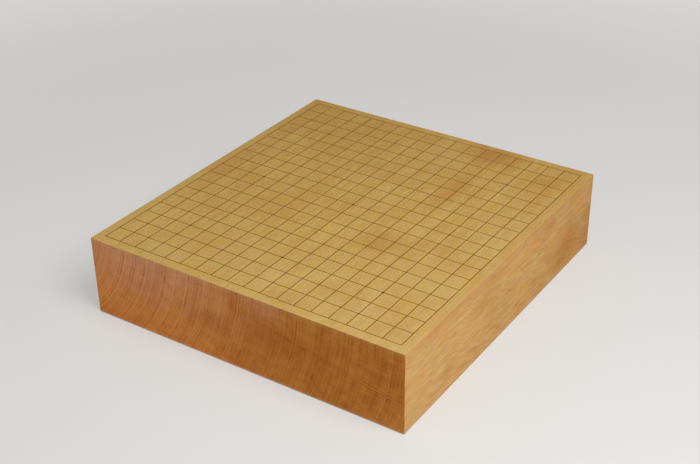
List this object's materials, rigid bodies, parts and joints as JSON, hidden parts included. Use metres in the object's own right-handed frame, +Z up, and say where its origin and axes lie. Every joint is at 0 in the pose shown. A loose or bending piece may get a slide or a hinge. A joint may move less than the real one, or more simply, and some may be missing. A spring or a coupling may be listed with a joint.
{
  "type": "table go board",
  "caption": "Thick one-piece wooden table go board with a raised black lacquer grid and star points on its playing face.",
  "frame": {"origin": "centre of the underside, on the surface that the board stands on", "axes": "+X along the end-grain edge to the right, +Y along the grain away from the near player, +Z up"},
  "size_m": [0.4242, 0.4544, 0.102],
  "materials": {
    "board_wood": "smooth planed and waxed softwood, straw yellow, end grain more orange",
    "line_lacquer": "black lacquer laid in raised lines, soft gloss"
  },
  "bodies": {
    "root": {"board_slab": "board_wood", "lengthwise_line_01": "line_lacquer", "lengthwise_line_02": "line_lacquer", "lengthwise_line_03": "line_lacquer", "lengthwise_line_04": "line_lacquer", "lengthwise_line_05": "line_lacquer", "lengthwise_line_06": "line_lacquer", "lengthwise_line_07": "line_lacquer", "lengthwise_line_08": "line_lacquer", "lengthwise_line_09": "line_lacquer", "lengthwise_line_10": "line_lacquer", "lengthwise_line_11": "line_lacquer", "lengthwise_line_12": "line_lacquer", "lengthwise_line_13": "line_lacquer", "lengthwise_line_14": "line_lacquer", "lengthwise_line_15": "line_lacquer", "lengthwise_line_16": "line_lacquer", "lengthwise_line_17": "line_lacquer", "lengthwise_line_18": "line_lacquer", "lengthwise_line_19": "line_lacquer", "crosswise_line_01": "line_lacquer", "crosswise_line_02": "line_lacquer", "crosswise_line_03": "line_lacquer", "crosswise_line_04": "line_lacquer", "crosswise_line_05": "line_lacquer", "crosswise_line_06": "line_lacquer", "crosswise_line_07": "line_lacquer", "crosswise_line_08": "line_lacquer", "crosswise_line_09": "line_lacquer", "crosswise_line_10": "line_lacquer", "crosswise_line_11": "line_lacquer", "crosswise_line_12": "line_lacquer", "crosswise_line_13": "line_lacquer", "crosswise_line_14": "line_lacquer", "crosswise_line_15": "line_lacquer", "crosswise_line_16": "line_lacquer", "crosswise_line_17": "line_lacquer", "crosswise_line_18": "line_lacquer", "crosswise_line_19": "line_lacquer", "star_point_left_near": "line_lacquer", "star_point_left_middle": "line_lacquer", "star_point_left_far": "line_lacquer", "star_point_centre_near": "line_lacquer", "star_point_centre_middle": "line_lacquer", "star_point_centre_far": "line_lacquer", "star_point_right_near": "line_lacquer", "star_point_right_middle": "line_lacquer", "star_point_right_far": "line_lacquer"}
  },
  "joints": []
}
